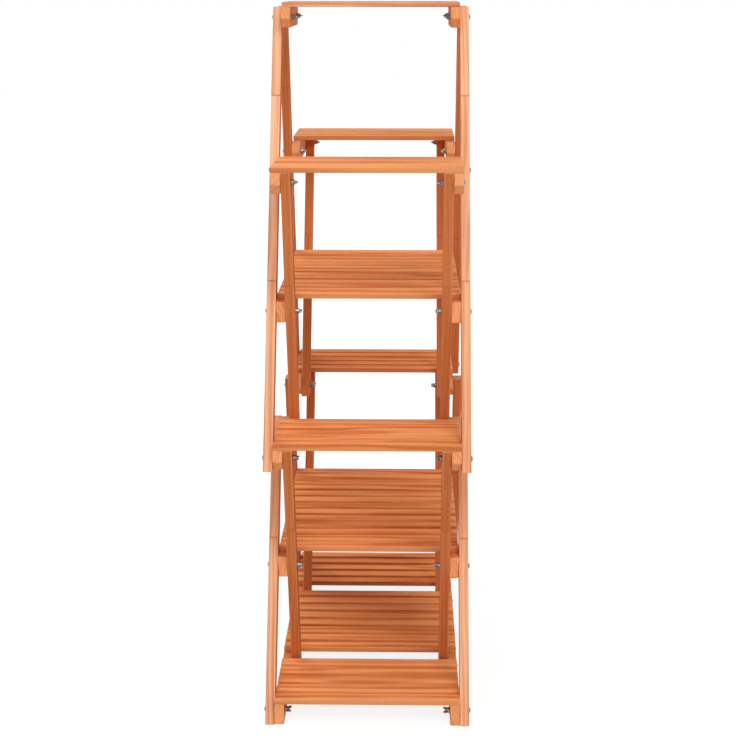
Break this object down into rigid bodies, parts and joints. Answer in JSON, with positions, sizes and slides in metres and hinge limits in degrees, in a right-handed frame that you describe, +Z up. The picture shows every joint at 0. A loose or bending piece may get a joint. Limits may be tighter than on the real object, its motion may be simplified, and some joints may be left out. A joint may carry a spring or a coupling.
{
  "type": "plant stand",
  "caption": "Slatted wooden ladder stand for potted plants, with crossed legs at both ends, end shelves and long middle shelves, held by bolts and wing nuts.",
  "frame": {"origin": "centre of the footprint, on the floor", "axes": "+X to the right across the stand, +Y along the stand from the near end to the far end, +Z up"},
  "size_m": [0.3056, 0.724, 1.047],
  "materials": {
    "leg_wood": "orange-stained softwood battens under a satin clear coat",
    "cleat_wood": "orange-stained softwood battens under a satin clear coat",
    "slat_wood": "orange-stained thin softwood slats under a satin clear coat",
    "steel": "zinc-plated steel"
  },
  "bodies": {
    "stand": {"leg_upper_outside_near_left": "leg_wood", "leg_upper_outside_near_right": "leg_wood", "leg_upper_outside_far_left": "leg_wood", "leg_upper_outside_far_right": "leg_wood", "leg_upper_inside_near_left": "leg_wood", "leg_upper_inside_near_right": "leg_wood", "leg_upper_inside_far_left": "leg_wood", "leg_upper_inside_far_right": "leg_wood", "leg_lower_outside_near_left": "leg_wood", "leg_lower_outside_near_right": "leg_wood", "leg_lower_outside_far_left": "leg_wood", "leg_lower_outside_far_right": "leg_wood", "leg_lower_inside_near_left": "leg_wood", "leg_lower_inside_near_right": "leg_wood", "leg_lower_inside_far_left": "leg_wood", "leg_lower_inside_far_right": "leg_wood", "slats_top": "slat_wood", "slats_upper_end_near": "slat_wood", "slats_upper_end_far": "slat_wood", "slats_upper_middle": "slat_wood", "slats_mid_end_near": "slat_wood", "slats_mid_end_far": "slat_wood", "slats_lower_middle": "slat_wood", "slats_floor_end_near": "slat_wood", "slats_floor_end_far": "slat_wood", "slats_floor_middle": "slat_wood", "cleats_top": "cleat_wood", "cleats_upper_end_near": "cleat_wood", "cleats_upper_end_far": "cleat_wood", "cleats_upper_middle": "cleat_wood", "cleats_mid_end_near": "cleat_wood", "cleats_mid_end_far": "cleat_wood", "cleats_lower_middle": "cleat_wood", "cleats_floor_middle": "cleat_wood", "bolts": "steel", "washers": "steel", "slat_brads": "steel"},
    "wing_nuts_top_near": {"wing_nuts_top_near": "steel"},
    "wing_nuts_top_far": {"wing_nuts_top_far": "steel"},
    "wing_nuts_upper_end_near": {"wing_nuts_upper_end_near": "steel"},
    "wing_nuts_upper_end_far": {"wing_nuts_upper_end_far": "steel"},
    "wing_nuts_upper_centre_near": {"wing_nuts_upper_centre_near": "steel"},
    "wing_nuts_upper_centre_far": {"wing_nuts_upper_centre_far": "steel"},
    "wing_nuts_cross_upper_near": {"wing_nuts_cross_upper_near": "steel"},
    "wing_nuts_cross_upper_far": {"wing_nuts_cross_upper_far": "steel"},
    "wing_nuts_mid_end_near": {"wing_nuts_mid_end_near": "steel"},
    "wing_nuts_mid_end_far": {"wing_nuts_mid_end_far": "steel"},
    "wing_nuts_mid_centre_near": {"wing_nuts_mid_centre_near": "steel"},
    "wing_nuts_mid_centre_far": {"wing_nuts_mid_centre_far": "steel"},
    "wing_nuts_cross_lower_near": {"wing_nuts_cross_lower_near": "steel"},
    "wing_nuts_cross_lower_far": {"wing_nuts_cross_lower_far": "steel"},
    "wing_nuts_foot_end_near": {"wing_nuts_foot_end_near": "steel"},
    "wing_nuts_foot_end_far": {"wing_nuts_foot_end_far": "steel"},
    "wing_nuts_foot_centre_near": {"wing_nuts_foot_centre_near": "steel"},
    "wing_nuts_foot_centre_far": {"wing_nuts_foot_centre_far": "steel"}
  },
  "joints": [
    {"name": "turn_top_near", "type": "hinge", "parent": "stand", "child": "wing_nuts_top_near", "pos_m": [0, -0.05915, 1.024], "axis": [1, 0, 0], "continuous": true},
    {"name": "turn_top_far", "type": "hinge", "parent": "stand", "child": "wing_nuts_top_far", "pos_m": [0, 0.05915, 1.024], "axis": [1, 0, 0], "continuous": true},
    {"name": "turn_upper_end_near", "type": "hinge", "parent": "stand", "child": "wing_nuts_upper_end_near", "pos_m": [0, -0.338, 0.798], "axis": [1, 0, 0], "continuous": true},
    {"name": "turn_upper_end_far", "type": "hinge", "parent": "stand", "child": "wing_nuts_upper_end_far", "pos_m": [0, 0.338, 0.798], "axis": [1, 0, 0], "continuous": true},
    {"name": "turn_upper_centre_near", "type": "hinge", "parent": "stand", "child": "wing_nuts_upper_centre_near", "pos_m": [0, -0.15982, 0.798], "axis": [1, 0, 0], "continuous": true},
    {"name": "turn_upper_centre_far", "type": "hinge", "parent": "stand", "child": "wing_nuts_upper_centre_far", "pos_m": [0, 0.15982, 0.798], "axis": [1, 0, 0], "continuous": true},
    {"name": "turn_cross_upper_near", "type": "hinge", "parent": "stand", "child": "wing_nuts_cross_upper_near", "pos_m": [0, -0.24891, 0.598], "axis": [1, 0, 0], "continuous": true},
    {"name": "turn_cross_upper_far", "type": "hinge", "parent": "stand", "child": "wing_nuts_cross_upper_far", "pos_m": [0, 0.24891, 0.598], "axis": [1, 0, 0], "continuous": true},
    {"name": "turn_mid_end_near", "type": "hinge", "parent": "stand", "child": "wing_nuts_mid_end_near", "pos_m": [0, -0.338, 0.398], "axis": [1, 0, 0], "continuous": true},
    {"name": "turn_mid_end_far", "type": "hinge", "parent": "stand", "child": "wing_nuts_mid_end_far", "pos_m": [0, 0.338, 0.398], "axis": [1, 0, 0], "continuous": true},
    {"name": "turn_mid_centre_near", "type": "hinge", "parent": "stand", "child": "wing_nuts_mid_centre_near", "pos_m": [0, -0.15982, 0.398], "axis": [1, 0, 0], "continuous": true},
    {"name": "turn_mid_centre_far", "type": "hinge", "parent": "stand", "child": "wing_nuts_mid_centre_far", "pos_m": [0, 0.15982, 0.398], "axis": [1, 0, 0], "continuous": true},
    {"name": "turn_cross_lower_near", "type": "hinge", "parent": "stand", "child": "wing_nuts_cross_lower_near", "pos_m": [0, -0.24795, 0.20882], "axis": [1, 0, 0], "continuous": true},
    {"name": "turn_cross_lower_far", "type": "hinge", "parent": "stand", "child": "wing_nuts_cross_lower_far", "pos_m": [0, 0.24795, 0.20882], "axis": [1, 0, 0], "continuous": true},
    {"name": "turn_foot_end_near", "type": "hinge", "parent": "stand", "child": "wing_nuts_foot_end_near", "pos_m": [0, -0.338, 0.0155], "axis": [1, 0, 0], "continuous": true},
    {"name": "turn_foot_end_far", "type": "hinge", "parent": "stand", "child": "wing_nuts_foot_end_far", "pos_m": [0, 0.338, 0.0155], "axis": [1, 0, 0], "continuous": true},
    {"name": "turn_foot_centre_near", "type": "hinge", "parent": "stand", "child": "wing_nuts_foot_centre_near", "pos_m": [0, -0.15593, 0.0155], "axis": [1, 0, 0], "continuous": true},
    {"name": "turn_foot_centre_far", "type": "hinge", "parent": "stand", "child": "wing_nuts_foot_centre_far", "pos_m": [0, 0.15593, 0.0155], "axis": [1, 0, 0], "continuous": true}
  ]
}
